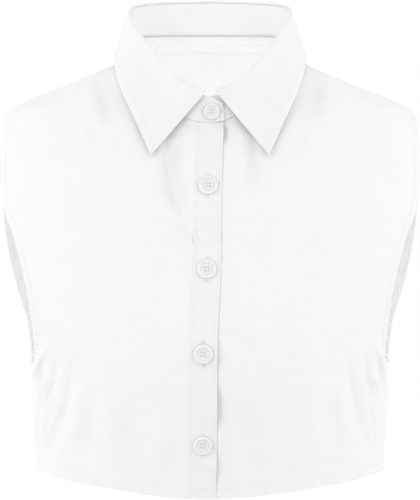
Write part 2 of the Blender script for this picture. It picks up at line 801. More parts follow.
# Creases of the fronts: places along a bent line (run from the middle, height), half width,
# height (minus is a trough), lean of the sharper side
CREASES_RIGHT = (
    (((-139.0, -219.0), (-156.0, -233.0), (-172.0, -249.0)), 3.0, 2.3, 0.35),
    (((-143.0, -243.0), (-156.0, -258.0), (-163.0, -272.0)), 2.8, 1.9, 0.35),
    (((-123.0, -236.0), (-129.6, -249.5), (-128.4, -260.0), (-144.0, -296.0)), 3.4, 2.3, -0.3),
    (((-129.0, -226.0), (-133.5, -245.0), (-140.0, -256.0), (-147.0, -276.0)), 3.0, -2.2, 0.3),
    (((-145.0, -230.0), (-157.0, -245.0), (-167.0, -262.0)), 3.0, -2.2, 0.3),
    (((-112.0, -228.0), (-117.5, -257.0), (-129.0, -292.0)), 5.6, -2.6, -0.3),
    (((-102.0, -240.0), (-105.0, -266.0), (-113.0, -304.0)), 7.0, 1.6, 0.1),
    (((-158.0, -266.0), (-163.0, -294.0)), 4.5, 1.5, 0.2),
    (((-150.0, -282.0), (-152.0, -312.0)), 5.0, -1.4, 0.0),
    (((-31.0, -119.0), (-14.0, -129.0), (-1.0, -142.0)), 4.6, -2.6, 0.45),
    (((-42.0, -129.0), (-24.0, -137.0), (-9.0, -151.0)), 5.4, 2.0, -0.3),
    (((-48.0, -150.0), (-28.0, -156.0), (-12.0, -164.0)), 5.5, -1.2, 0.2),
    (((-34.0, -56.0), (-31.0, -86.0), (-26.0, -104.0), (-14.0, -121.0)), 7.6, -4.6, -0.6),
    (((-43.0, -60.0), (-40.0, -92.0), (-32.0, -114.0), (-17.0, -126.0)), 5.0, 1.7, 0.0),
    (((-21.0, -62.0), (-19.0, -78.0)), 4.0, 1.4, 0.2),
    (((-91.0, -6.0), (-82.0, -24.0), (-76.0, -48.0)), 12.0, -5.4, -0.4),
    (((-110.0, -18.0), (-99.0, -42.0), (-92.0, -70.0)), 8.0, 1.0, -0.3),
    (((-40.0, -262.0), (-38.0, -292.0), (-44.0, -318.0)), 8.0, 1.7, 0.0),
    (((-76.0, -250.0), (-79.0, -280.0), (-74.0, -312.0)), 8.5, 1.6, 0.1),
    (((-58.0, -258.0), (-60.0, -296.0)), 8.0, -1.5, 0.0),
    (((-22.0, -256.0), (-25.0, -292.0), (-22.0, -316.0)), 6.5, -1.2, 0.0),
    (((-94.0, -262.0), (-97.0, -306.0)), 7.0, -1.3, 0.1),
    (((-138.0, -96.0), (-122.0, -122.0), (-98.0, -138.0)), 12.0, -1.0, 0.2),
    (((-126.0, -168.0), (-104.0, -186.0), (-74.0, -192.0)), 14.0, -0.9, 0.1),
)
CREASES_LEFT = (
    (((141.0, -217.0), (157.0, -232.0), (171.0, -250.0)), 3.0, 2.2, -0.35),
    (((140.0, -240.0), (152.0, -255.0), (160.0, -274.0)), 3.0, 2.0, -0.35),
    (((124.0, -232.0), (130.0, -250.0), (134.0, -270.0), (143.0, -298.0)), 3.5, 2.2, 0.3),
    (((130.0, -224.0), (135.0, -243.0), (142.0, -258.0), (148.0, -278.0)), 3.1, -2.2, -0.3),
    (((148.0, -228.0), (160.0, -246.0), (167.0, -266.0)), 3.0, -2.0, -0.3),
    (((113.0, -226.0), (119.0, -256.0), (130.0, -294.0)), 5.4, -2.5, 0.3),
    (((102.0, -240.0), (107.0, -270.0), (114.0, -304.0)), 6.6, 1.5, -0.1),
    (((150.0, -284.0), (153.0, -312.0)), 5.0, -1.3, 0.0),
    (((24.0, -56.0), (25.0, -76.0), (21.0, -96.0)), 4.0, 2.4, -0.3),
    (((34.0, -52.0), (35.0, -78.0), (28.0, -98.0)), 5.4, -3.3, 0.45),
    (((10.6, -44.0), (10.4, -58.0)), 2.6, -1.6, 0.0),
    (((6.2, -242.0), (5.8, -274.0)), 2.7, -1.0, 0.0),
    (((48.0, -66.0), (46.0, -94.0), (38.0, -112.0)), 6.0, 1.2, 0.0),
    (((14.0, -198.0), (27.0, -214.0), (44.0, -224.0)), 6.0, -1.4, 0.2),
    (((16.0, -128.0), (30.0, -134.0), (46.0, -148.0)), 7.0, -1.0, 0.1),
    (((91.0, -6.0), (83.0, -22.0), (77.0, -45.0)), 12.0, -5.2, 0.4),
    (((111.0, -18.0), (100.0, -40.0), (94.0, -66.0)), 8.0, 1.0, 0.3),
    (((42.0, -258.0), (46.0, -284.0), (40.0, -316.0)), 8.0, 1.6, 0.0),
    (((78.0, -254.0), (82.0, -284.0), (76.0, -314.0)), 8.5, 1.6, -0.1),
    (((26.0, -250.0), (30.0, -276.0), (26.0, -310.0)), 6.0, -1.4, 0.1),
    (((60.0, -260.0), (63.0, -300.0)), 8.0, -1.4, 0.0),
    (((95.0, -262.0), (98.0, -304.0)), 7.0, -1.2, -0.1),
    (((136.0, -98.0), (120.0, -120.0), (100.0, -132.0)), 12.0, -1.0, 0.2),
    (((124.0, -172.0), (100.0, -188.0), (72.0, -196.0)), 14.0, -0.9, 0.1),
)

# Creases of the back: as above, with the run from the centre back
CREASES_BACK = (
    (((-138.0, -222.0), (-146.0, -238.0), (-158.0, -256.0)), 3.4, 2.0, 0.3),
    (((-120.0, -226.0), (-128.0, -252.0), (-136.0, -290.0)), 5.0, -2.2, -0.2),
    (((-108.0, -230.0), (-112.0, -262.0), (-116.0, -300.0)), 6.0, 1.7, 0.1),
    (((-146.0, -240.0), (-152.0, -262.0), (-154.0, -290.0)), 3.8, -1.9, 0.3),
    (((136.0, -220.0), (146.0, -240.0), (156.0, -258.0)), 3.4, 2.0, -0.3),
    (((122.0, -224.0), (128.0, -250.0), (138.0, -286.0)), 5.0, -2.2, 0.2),
    (((106.0, -232.0), (112.0, -260.0), (114.0, -298.0)), 6.0, 1.7, -0.1),
    (((148.0, -242.0), (152.0, -266.0), (156.0, -288.0)), 3.8, -1.8, -0.3),
    (((-36.0, -110.0), (-44.0, -150.0), (-40.0, -196.0)), 9.0, 1.4, 0.1),
    (((40.0, -104.0), (46.0, -148.0), (38.0, -200.0)), 9.0, 1.4, -0.1),
    (((-96.0, -26.0), (-70.0, -52.0), (-40.0, -66.0)), 8.0, -1.6, 0.2),
    (((96.0, -26.0), (72.0, -50.0), (38.0, -68.0)), 8.0, -1.6, -0.2),
    (((-8.0, -240.0), (-4.0, -280.0), (-10.0, -316.0)), 8.0, 1.7, 0.1),
    (((60.0, -244.0), (66.0, -284.0), (62.0, -318.0)), 7.5, 1.6, 0.0),
    (((-62.0, -248.0), (-70.0, -286.0), (-66.0, -316.0)), 7.5, 1.6, 0.0),
    (((26.0, -236.0), (32.0, -276.0), (30.0, -312.0)), 7.5, -1.5, 0.0),
    (((-34.0, -236.0), (-38.0, -278.0), (-35.0, -312.0)), 7.5, -1.5, 0.0),
)


# Relief of the cloth
def crease(s, z, row):
    """Soft ridge or trough along a bent line, with one side sharper than the other."""
    path, half, height, lean = row
    best = np.full(np.shape(s), 1e9)
    across = np.zeros(np.shape(s))
    along = np.zeros(np.shape(s))
    run = 0.0
    for (s0, z0), (s1, z1) in zip(path, path[1:]):
        length = math.hypot(s1 - s0, z1 - z0)
        ds = (s1 - s0) / length
        dz = (z1 - z0) / length
        t = np.clip((s - s0) * ds + (z - z0) * dz, 0.0, length)
        gap = np.hypot(s - s0 - t * ds, z - z0 - t * dz)
        side = np.sign((s - s0) * dz - (z - z0) * ds)
        nearer = gap < best
        best = np.where(nearer, gap, best)
        across = np.where(nearer, gap * side, across)
        along = np.where(nearer, run + t, along)
        run += length
    width = half * np.where(across > 0, 1 + lean, 1 - lean)
    ends = smoothstep((along + 0.12 * run) / (0.4 * run)) * smoothstep((1.12 * run - along) / (0.55 * run))
    return height * ends * np.exp(-((best / width) ** 2))


def unevenness(s, z, size):
    """Slight lie of pressed cloth: long shallow waves in several directions."""
    waves = ((41.0, 0.3, 0.0, 0.30), (29.0, 1.2, 1.0, 0.22), (23.0, 2.2, 2.1, 0.16),
             (17.0, 0.9, 0.7, 0.10), (12.5, 2.7, 3.9, 0.06), (9.5, 1.7, 5.2, 0.04))
    total = np.zeros(np.broadcast(s, z).shape)
    for length, turn, phase, height in waves:
        way = (s * math.cos(turn) + z * math.sin(turn)) * 2 * math.pi / length
        total = total + height * np.sin(way + phase + 1.3 * np.sin(way * 0.37 + 2 * phase))
    return size * total


def spread(length, fine, coarse, edge):
    """Shares of a length, in fine steps near both ends and coarse ones between."""
    x = np.linspace(0.0, length, 3000)
    step = fine + (coarse - fine) * smoothstep(np.minimum(x, length - x) / edge)
    count = np.concatenate(([0.0], np.cumsum((1 / step[1:] + 1 / step[:-1]) / 2 * np.diff(x))))
    return count / count[-1], x / length, count[-1]


def shares_along(path, count, fine=1.0, coarse=1.0, edge=20.0):
    """Resample a path so that its steps are fine near both ends, in all as many as count."""
    run = run_along(path)
    done, share, _ = spread(run[-1], fine, coarse, edge)
    at = np.interp(np.linspace(0.0, 1.0, count + 1), done, share) * run[-1]
    return np.stack((np.interp(at, run, path[:, 0]), np.interp(at, run, path[:, 1])), axis=1)


def front_grid(side):
    """Grid of a front, from the lap edge to the side; its edge at the band runs under it."""
    edge = BAND_HALF - 2.0
    low_u = 0.07
    high_u = 0.07
    for _ in range(8):
        low_u = band_turn(hem_height(low_u), side, edge)
        high_u = band_turn(neck_z(high_u), side, edge)
    z = np.linspace(hem_height(low_u), neck_z(high_u), 90)
    band = np.stack((band_turn(z, side, edge), z), axis=1)
    band[0, 0] = low_u
    band[-1, 0] = high_u
    side_z = np.linspace(hem_height(1.0), UNDERARM_Z, 30)
    seam = np.stack((np.ones(30), side_z), axis=1)
    bottom_u = np.linspace(low_u, 1.0, 120)
    hem = np.stack((bottom_u, hem_height(bottom_u)), axis=1)
    left = join(shares_along(band, 190, 0.8, 1.7, 16.0), shares_along(neck_path(high_u, SEAM_TURN), 50))
    right = join(shares_along(seam, 78, 0.8, 1.2, 14.0), shares_along(armhole_path(True, 0.0), 162))
    bottom = shares_along(hem, 124, 0.75, 1.4, 12.0)
    top = shares_along(shoulder_path(0.0), 124, 0.7, 1.0, 12.0)
    for path, start, end in ((left, bottom[0], top[0]), (right, bottom[-1], top[-1])):
        path[0] = start
        path[-1] = end
    grid = coons(bottom, top, left, right, shares(bottom, top), shares(left, right))
    return side * grid[..., 0], grid[..., 1]


def back_grid():
    """Grid of the back; its side and shoulder edges run on under the fronts."""
    tuck = -2.4
    side_u = 1.0 + tuck / front_run(UNDERARM_Z)
    side_z = np.linspace(hem_height(side_u), UNDERARM_Z, 30)
    seam = np.stack((np.full(30, side_u), side_z), axis=1)
    left = join(shares_along(seam, 62, 0.9, 1.5, 12.0), shares_along(armhole_path(False, 0.0), 118))
    shoulder = shares_along(shoulder_path(tuck), 62)[::-1]
    half_neck = shares_along(neck_path(shoulder[-1, 0], 2.0), 60)
    half = join(shoulder, half_neck)
    mirror = half[::-1].copy()
    mirror[:, 0] = 4.0 - mirror[:, 0]
    top = join(half, mirror)
    right = left.copy()
    right[:, 0] = 4.0 - right[:, 0]
    bottom_u = np.linspace(side_u, 4.0 - side_u, 200)
    bottom = shares_along(np.stack((bottom_u, hem_height(bottom_u)), axis=1), len(top) - 1)
    for path, start, end in ((left, bottom[0], top[0]), (right, bottom[-1], top[-1])):
        path[0] = start
        path[-1] = end
    edges = [to_flat_back(path) for path in (bottom, top, left, right)]
    grid = coons(*edges, shares(bottom, top), shares(left, right))
    return from_flat_back(grid[..., 0], grid[..., 1]), grid[..., 1]


# Distances and lines on a laid piece
def reach(points, path):
    """Distance of every point of a grid to a path of points, and the run along the path there."""
    flat = points.reshape(-1, 3)
    run = np.concatenate(([0.0], np.cumsum(np.linalg.norm(np.diff(path, axis=0), axis=1))))
    gap = np.empty(len(flat))
    at = np.empty(len(flat))
    size = (path ** 2).sum(axis=1)
    for first in range(0, len(flat), 4000):
        part = flat[first:first + 4000]
        square = (part ** 2).sum(axis=1)[:, None] + size[None] - 2 * part @ path.T
        k = square.argmin(axis=1)
        gap[first:first + 4000] = np.sqrt(np.maximum(square[np.arange(len(part)), k], 0.0))
        at[first:first + 4000] = run[k]
    return gap.reshape(points.shape[:2]), at.reshape(points.shape[:2])


def path_points(u, z, off=WALL):
    """A path on the form as points on the cloth, about half a millimetre apart."""
    u, z = np.broadcast_arrays(np.asarray(u, float), np.asarray(z, float))
    at = np.linspace(0.0, 1.0, 700)
    share = np.linspace(0.0, 1.0, len(u))
    return skin(np.interp(at, share, u), np.interp(at, share, z), off)


def line_at(points, normals, distance, gap, edge):
    """Points and normals where a grid is a set distance from one of its edges."""
    if edge in ("left", "right"):
        points = points.swapaxes(0, 1)
        normals = normals.swapaxes(0, 1)
        distance = distance.swapaxes(0, 1)
    if edge in ("right", "top"):
        points = points[::-1]
        normals = normals[::-1]
        distance = distance[::-1]
    inside = distance >= gap
    k = inside.argmax(axis=0)
    i = np.arange(points.shape[1])
    good = inside.any(axis=0) & (k > 0)
    i = i[good]
    k = k[good]
    low = distance[k - 1, i]
    high = distance[k, i]
    t = ((gap - low) / np.maximum(high - low, 1e-6))[:, None]
    place = points[k - 1, i] * (1 - t) + points[k, i] * t
    normal = normals[k - 1, i] * (1 - t) + normals[k, i] * t
    return place, normal / np.linalg.norm(normal, axis=1, keepdims=True)


def turned(distance, run, stitch, fat, pull):
    """Rise of a turned edge: fuller out to its stitches, drawn in and rippled along them."""
    ripple = np.sin(run * 0.83 + 1.9 * np.sin(run * 0.061 + 1.0) + 0.5 * distance)
    ripple = ripple * (0.6 + 0.4 * np.sin(run * 0.117 + 0.4))
    body = fat * (1.0 - smoothstep((distance - stitch + 0.8) / 1.8))
    drawn = -pull * np.exp(-(((distance - stitch) / 1.1) ** 2))
    wave = 0.55 * pull * ripple * np.exp(-(((distance - stitch * 0.8) / (stitch * 0.8)) ** 2))
    return body + drawn + wave


# Making pieces
def add_grid(name, points, outward_side, uv):
    """Grid primitive laid on the given points, faces outward, with a cloth map in metres."""
    rows, cols = points.shape[:2]
    across = np.cross(points[0, 1] - points[0, 0], points[1, 0] - points[0, 0])
    if np.dot(across, outward_side[0, 0]) < 0:
        points = points[:, ::-1]
        uv = uv[:, ::-1]
    bpy.ops.mesh.primitive_grid_add(x_subdivisions=cols - 1, y_subdivisions=rows - 1, size=1.0)
    piece = bpy.context.object
    piece.name = name
    mesh = piece.data
    mesh.name = name
    mesh.vertices.foreach_set("co", (points.reshape(-1, 3) * MM).ravel())
    corner = np.empty(len(mesh.loops), np.int32)
    mesh.loops.foreach_get("vertex_index", corner)
    flat = uv.reshape(-1, 2) * MM
    mesh.uv_layers.active.data.foreach_set("uv", flat[corner].ravel())
    mesh.update()
    return piece


def cloth_map(points):
    """Cloth coordinates of a grid from the lengths along its lines."""
    across = np.linalg.norm(np.diff(points, axis=1), axis=2)
    along = np.linalg.norm(np.diff(points, axis=0), axis=2)
    zero_col = np.zeros((points.shape[0], 1))
    zero_row = np.zeros((1, points.shape[1]))
    x = np.concatenate((zero_col, np.cumsum(across, axis=1)), axis=1)
    y = np.concatenate((zero_row, np.cumsum(along, axis=0)), axis=0)
    x = x - x[:, x.shape[1] // 2][:, None]
    return np.stack((x, y), axis=-1)


def thicken(piece, thick, thin_share=1.0, turning=None, round_by=0.18):
    """Give a laid piece its thickness inward, fuller at its turnings, and round its edges."""
    wall = piece.modifiers.new("wall", "SOLIDIFY")
    wall.thickness = thick * MM
    wall.offset = -1.0
    wall.use_even_offset = False
    if turning is not None:
        group = piece.vertex_groups.new(name="turning")
        weights = turning.reshape(-1)
        for level in range(0, 9):
            picked = np.nonzero(np.round(weights * 8) == level)[0]
            if len(picked):
                group.add(picked.tolist(), level / 8.0, "REPLACE")
        wall.vertex_group = "turning"
        wall.thickness_vertex_group = thin_share
    edge = piece.modifiers.new("edge", "BEVEL")
    edge.width = round_by * MM
    edge.segments = 2
    edge.limit_method = "ANGLE"
    edge.angle_limit = math.radians(55.0)
    bpy.context.view_layer.objects.active = piece
    piece.select_set(True)
    bpy.ops.object.modifier_apply(modifier="wall")
    bpy.ops.object.modifier_apply(modifier="edge")
    bpy.ops.object.shade_smooth()
    piece.select_set(False)
    return piece


# Sewing
def one_stitch():
    """One thread stitch, modelled once: a thin round bar with its ends drawn down."""
    bpy.ops.mesh.primitive_cylinder_add(vertices=6, radius=THREAD_R, depth=STITCH_LENGTH,
                                        end_fill_type="NGON", rotation=(0.0, math.pi / 2, 0.0))
    bar = bpy.context.object
    bpy.ops.object.transform_apply(rotation=True)
    bpy.ops.object.mode_set(mode="EDIT")
    bpy.ops.mesh.select_all(action="SELECT")
    for x in (-0.35, 0.35):
        bpy.ops.mesh.bisect(plane_co=(x * STITCH_LENGTH, 0, 0), plane_no=(1, 0, 0))
        bpy.ops.mesh.select_all(action="SELECT")
    bpy.ops.mesh.quads_convert_to_tris()
    bpy.ops.object.mode_set(mode="OBJECT")
    verts = np.array([v.co for v in bar.data.vertices])
    faces = np.array([p.vertices[:] for p in bar.data.polygons])
    bend = np.abs(verts[:, 0]) / (STITCH_LENGTH / 2)
    verts[:, 2] += THREAD_R * (0.75 - 1.9 * bend ** 3)
    verts[:, 1] *= 1.0 - 0.35 * bend ** 3
    bpy.data.objects.remove(bar)
    return verts, faces


STITCH_VERTS, STITCH_FACES = one_stitch()


def even_run(place, normal, step):
    """Places, directions and normals at even steps along a line of points."""
    run = np.concatenate(([0.0], np.cumsum(np.linalg.norm(np.diff(place, axis=0), axis=1))))
    count = max(2, int(run[-1] / step))
    at = (np.arange(count) + 0.5) * run[-1] / count
    middle = np.stack([np.interp(at, run, place[:, k]) for k in range(3)], axis=1)
    ahead = np.stack([np.interp(at + 0.4 * step, run, place[:, k]) for k in range(3)], axis=1)
    behind = np.stack([np.interp(at - 0.4 * step, run, place[:, k]) for k in range(3)], axis=1)
    along = ahead - behind
    along /= np.linalg.norm(along, axis=1, keepdims=True)
    up = np.stack([np.interp(at, run, normal[:, k]) for k in range(3)], axis=1)
    up -= along * np.sum(up * along, axis=1, keepdims=True)
    up /= np.linalg.norm(up, axis=1, keepdims=True)
    return middle, along, up


def sew(name, lines, step=STITCH_STEP, lift=0.0):
    """All the stitches of a piece as one object, a copy of the stitch at each step."""
    verts = []
    faces = []
    total = 0
    for place, normal in lines:
        if len(place) < 3:
            continue
        middle, along, up = even_run(place, normal, step)
        across = np.cross(up, along)
        points = (middle[:, None] + along[:, None] * STITCH_VERTS[None, :, 0:1]
                  + across[:, None] * STITCH_VERTS[None, :, 1:2]
                  + up[:, None] * (STITCH_VERTS[None, :, 2:3] + lift))
        for k in range(len(middle)):
            faces.append(STITCH_FACES + total)
            total += len(STITCH_VERTS)
        verts.append(points.reshape(-1, 3))
    mesh = bpy.data.meshes.new(name)
    mesh.from_pydata((np.concatenate(verts) * MM).tolist(), [], np.concatenate(faces).tolist())
    mesh.update()
    piece = bpy.data.objects.new(name, mesh)
    bpy.context.scene.collection.objects.link(piece)
    mesh.shade_smooth()
    return piece


# The cloth pieces
def smooth_normals(points, outward_side):
    normal = grid_normals(points)
    flip = np.sign(np.sum(normal * outward_side, axis=-1))[..., None]
    return normal * flip


def lay_front(side):
    name = "front_left" if side > 0 else "front_right"
    u, z = front_grid(side)
    s = front_place(u, z)
    flat = skin(u, z, WALL)
    hem_u = np.linspace(0.0, 1.1, 200)
    hem_gap, hem_run = reach(flat, path_points(side * hem_u, hem_height(hem_u)))
    arm = armhole_path(True, 0.0)
    arm_gap, arm_run = reach(flat, path_points(side * arm[:, 0], arm[:, 1]))
    top = shoulder_path(0.0)
    top_gap, _ = reach(flat, path_points(side * top[:, 0], top[:, 1]))
    seam_z = np.linspace(hem_height(1.0), UNDERARM_Z, 60)
    seam_gap, _ = reach(flat, path_points(np.full(60, side * 1.0), seam_z))
    away = side * (s - CENTRE_X(z)) - BAND_HALF
    rise = unevenness(s, z, 0.55 * smoothstep(np.minimum(np.minimum(seam_gap, top_gap), arm_gap) / 14.0))
    near_seam = 0.3 + 0.7 * smoothstep(seam_gap / 7.0)
    near_edge = near_seam * (0.2 + 0.8 * smoothstep((arm_gap - 1.0) / 8.0))
    for row in (CREASES_LEFT if side > 0 else CREASES_RIGHT):
        rise = rise + crease(s, z, row) * near_edge
    rise = rise + turned(hem_gap, hem_run, HEM_STITCH, 0.25, 0.3)
    rise = rise + turned(arm_gap, arm_run, ARM_STITCH, 0.25, 0.22) * smoothstep(seam_gap / 8.0)
    # the underarm edge curls in a little
    rise = rise - 1.8 * (1 - smoothstep(arm_gap / 7.0)) * smoothstep((-210.0 - z) / 14.0)
    rise = rise + 0.25 * (1 - smoothstep((top_gap - 4.0) / 3.0)) - 0.2 * np.exp(-((top_gap / 0.7) ** 2))
    rise = rise - 0.25 * np.exp(-((seam_gap / 0.9) ** 2))
    rise = rise - 1.3 * (1 - smoothstep((away + 1.2) / 1.4))
    base = lap_raise(u, z) if side < 0 else 0.0 * u
    points = skin(u, z, base + WALL + rise)
    out = form_normal(form_point(u, z))
    normal = smooth_normals(points, out)
    fabric_map = np.stack((s, z), axis=-1)
    piece = add_grid(name + "_cloth", points, out, fabric_map)
    at_arm = (1 - smoothstep((arm_gap - ARM_STITCH - 0.6) / 0.9)) * smoothstep((seam_gap - 2.0) / 7.0)
    thick = np.maximum(1 - smoothstep((hem_gap - HEM_STITCH - 0.6) / 0.9), at_arm)
    across = np.cross(points[0, 1] - points[0, 0], points[1, 0] - points[0, 0])
    if np.dot(across, out[0, 0]) < 0:
        thick = thick[:, ::-1]
    thicken(piece, TURNED_THICK, CLOTH_THICK / TURNED_THICK, thick)
    lines = [line_at(points, normal, hem_gap, HEM_STITCH, "bottom"),
             line_at(points, normal, arm_gap, ARM_STITCH, "right")]
    sewing = sew(name + "_sewing", lines)
    return piece, sewing


def lay_back():
    u, z = back_grid()
    b = back_place(u, z)
    flat = skin(u, z, WALL)
    hem_u = np.linspace(0.98, 3.02, 400)
    hem_gap, hem_run = reach(flat, path_points(hem_u, hem_height(hem_u)))
    arm = armhole_path(False, 0.0)
    arm_a, run_a = reach(flat, path_points(arm[:, 0], arm[:, 1]))
    arm_b, run_b = reach(flat, path_points(4.0 - arm[:, 0], arm[:, 1]))
    arm_gap = np.minimum(arm_a, arm_b)
    arm_run = np.where(arm_a < arm_b, run_a, run_b + 37.0)
    top = shoulder_path(0.0)
    top_a, _ = reach(flat, path_points(top[:, 0], top[:, 1]))
    top_b, _ = reach(flat, path_points(4.0 - top[:, 0], top[:, 1]))
    top_gap = np.minimum(top_a, top_b)
    seam_z = np.linspace(hem_height(1.0), UNDERARM_Z, 60)
    seam_a, _ = reach(flat, path_points(np.full(60, 1.0), seam_z))
    seam_b, _ = reach(flat, path_points(np.full(60, 3.0), seam_z))
    seam_gap = np.minimum(seam_a, seam_b)
    rise = unevenness(b, z, 0.6 * smoothstep(np.minimum(np.minimum(seam_gap, top_gap), arm_gap) / 14.0))
    near_seam = 0.3 + 0.7 * smoothstep(seam_gap / 7.0)
    for row in CREASES_BACK:
        rise = rise + crease(b, z, row) * near_seam
    rise = rise + turned(hem_gap, hem_run, HEM_STITCH, 0.25, 0.3)
    rise = rise + turned(arm_gap, arm_run, ARM_STITCH, 0.25, 0.22) * smoothstep(seam_gap / 8.0)
    rise = rise - 0.75 * (1 - smoothstep((top_gap - 0.6) / 4.5))
    rise = rise - 0.75 * (1 - smoothstep((seam_gap - 0.6) / 4.5))
    rise = rise - 3.0 * np.exp(-((arm_gap / 8.0) ** 2) - (seam_gap / 7.0) ** 2)
    points = skin(u, z, WALL + rise)
    out = form_normal(form_point(u, z))
    normal = smooth_normals(points, out)
    piece = add_grid("back_cloth", points, out, np.stack((b, z), axis=-1))
    at_arm = (1 - smoothstep((arm_gap - ARM_STITCH - 0.6) / 0.9)) * smoothstep((seam_gap - 2.0) / 7.0)
    thick = np.maximum(1 - smoothstep((hem_gap - HEM_STITCH - 0.6) / 0.9), at_arm)
    across = np.cross(points[0, 1] - points[0, 0], points[1, 0] - points[0, 0])
    if np.dot(across, out[0, 0]) < 0:
        thick = thick[:, ::-1]
    thicken(piece, TURNED_THICK, CLOTH_THICK / TURNED_THICK, thick)
    lines = [line_at(points, normal, hem_gap, HEM_STITCH, "bottom"),
             line_at(points, normal, arm_a, ARM_STITCH, "left"),
             line_at(points, normal, arm_b, ARM_STITCH, "right"),
             line_at(points, normal, top_a, 5.5, "top"),
             line_at(points, normal, top_b, 5.5, "top")]
    sewing = sew("back_sewing", lines)
    return piece, sewing


def lay_band(upper):
    """A button band, folded and edge-stitched, with its long edges a little proud."""
    side = -1.0 if upper else 1.0
    name = "placket_right" if upper else "placket_left"
    reach_out = BAND_HALF + 0.2
    done, share, _ = spread(2 * reach_out, 0.55, 1.1, 5.0)
    s = (np.interp(np.linspace(0, 1, 29), done, share) * 2 - 1)[None, :]
    done, share, _ = spread(290.0, 0.7, 0.85, 10.0)
    t = np.interp(np.linspace(0, 1, 361), done, share)[:, None]
    z_low = hem_height(0.0)
    z_high = neck_z(0.0)
    z = z_low + (z_high - z_low) * t + 0 * s
    for _ in range(6):
        turn = band_turn(z, side, reach_out * s)
        z = hem_height(turn) + (neck_z(turn) - hem_height(turn)) * t
    u = side * turn
    free = smoothstep((-s - 0.3) / 0.7)
    lift = lap_lift(z) * free if upper else 0 * z
    place = front_place(u, z)
    edge_gap = (1 - np.abs(s)) * reach_out + 0 * z
    run = z - z_low + 40 * (s > 0)
    rise = turned(edge_gap, run, BAND_STITCH, 0.05, 0.12)
    rise = rise + 0.35 * unevenness(place, z, 0.5)
    rise = rise + 0.16 * np.sin(z * 0.31 + 2.0 * np.sin(z * 0.045)) * np.sin(z * 0.071 + 1.0)
    for row in (CREASES_RIGHT if upper else CREASES_LEFT):
        rise = rise + crease(place, z, row)
    hem_gap = z - hem_height(turn)
    rise = rise - 0.25 * np.exp(-(((hem_gap - HEM_STITCH) / 1.0) ** 2))
    if upper:
        # the lapped edge lies down on the band below except where it gapes; the sewn edge is flush
        lies = 1 - np.clip(lap_lift(z) / 1.6, 0.0, 1.0)
        lift = lift - 0.85 * smoothstep((-s - 0.1) / 0.8) * lies
        rise = rise - 0.12 * smoothstep((s - 0.2) / 0.8)
        level = LAP_RAISE + WALL + 0.1
    else:
        level = WALL + 0.1
        rise = rise - 0.35 * smoothstep((s - 0.1) / 0.8)
    points = skin(u, z, level + lift + rise)
    out = form_normal(form_point(u, z))
    normal = smooth_normals(points, out)
    piece = add_grid(name + "_cloth", points, out, np.stack((place, z), axis=-1))
    thicken(piece, BAND_THICK, round_by=0.3)
    lines = [line_at(points, normal, edge_gap, BAND_STITCH, "left"),
             line_at(points, normal, edge_gap, BAND_STITCH, "right"),
             line_at(points, normal, hem_gap, HEM_STITCH, "bottom")]
    sewing = sew(name + "_sewing", lines)
    return piece, sewing, points, normal


def lay_stand():
    """The stand, a strip round the neck whose ends lap at the front."""
    inner, out = stand_patch(420, 22)
    low = inner[0]
    high = inner[-1]
    shares_up = np.concatenate(([-0.045], np.linspace(0.0, 1.0, 22), [1.015]))
    from_middle = np.abs(high[:, 0])
    front_share = (high[:, 1] < 0) * (1 - smoothstep((from_middle - 8.0) / 14.0))
    high = high.copy()
    high[:, 2] += 0.47 * (np.sqrt(from_middle ** 2 + 36.0) - from_middle - 6.0) * front_share
    low = low.copy()
    start = np.linspace(0.0, 1.0, inner.shape[1]) * 2 * math.pi * 61.0
    low[:, 2] -= 1.7 * (1 - smoothstep((start - 12.0) / 16.0))
    inner = low[None] + (high - low)[None] * shares_up[:, None, None]
    tall = np.linalg.norm(high - low, axis=1)
    up_mm = shares_up[:, None] * tall[None]
    sweep = np.linspace(0.0, 1.0, inner.shape[1])[None, :]
    run = sweep * 2 * math.pi * 61.0
    from_end = np.minimum(run, run[:, -1:] - run)
    rise = -0.3 * np.exp(-(((up_mm - 2.0) / 0.8) ** 2))
    rise = rise - 0.22 * np.exp(-(((from_end - 2.4) / 0.9) ** 2))
    rise = rise + 0.22 * np.sin(run * 0.19 + 1.4 * np.sin(run * 0.051)) * np.sin(up_mm * 0.24 + run * 0.03)
    rise = rise + 0.12 * np.sin(run * 0.43 + up_mm * 0.2) * (1 - smoothstep(up_mm / 9.0))
    points = inner + out[None] * (STAND_WALL + rise)[..., None]
    fabric_map = cloth_map(points)
    side = np.broadcast_to(out[None], points.shape)
    normal = smooth_normals(points, side)
    piece = add_grid("collar_stand_cloth", points, side, fabric_map)
    thicken(piece, STAND_WALL - 0.1, round_by=0.45)
    lines = [line_at(points, normal, up_mm + 0.9, 2.9, "bottom"),
             line_at(points, normal, from_end + 0 * up_mm, 2.4, "left"),
             line_at(points, normal, from_end + 0 * up_mm, 2.4, "right")]
    sewing = sew("collar_stand_sewing", lines)
    return piece, sewing, points, normal


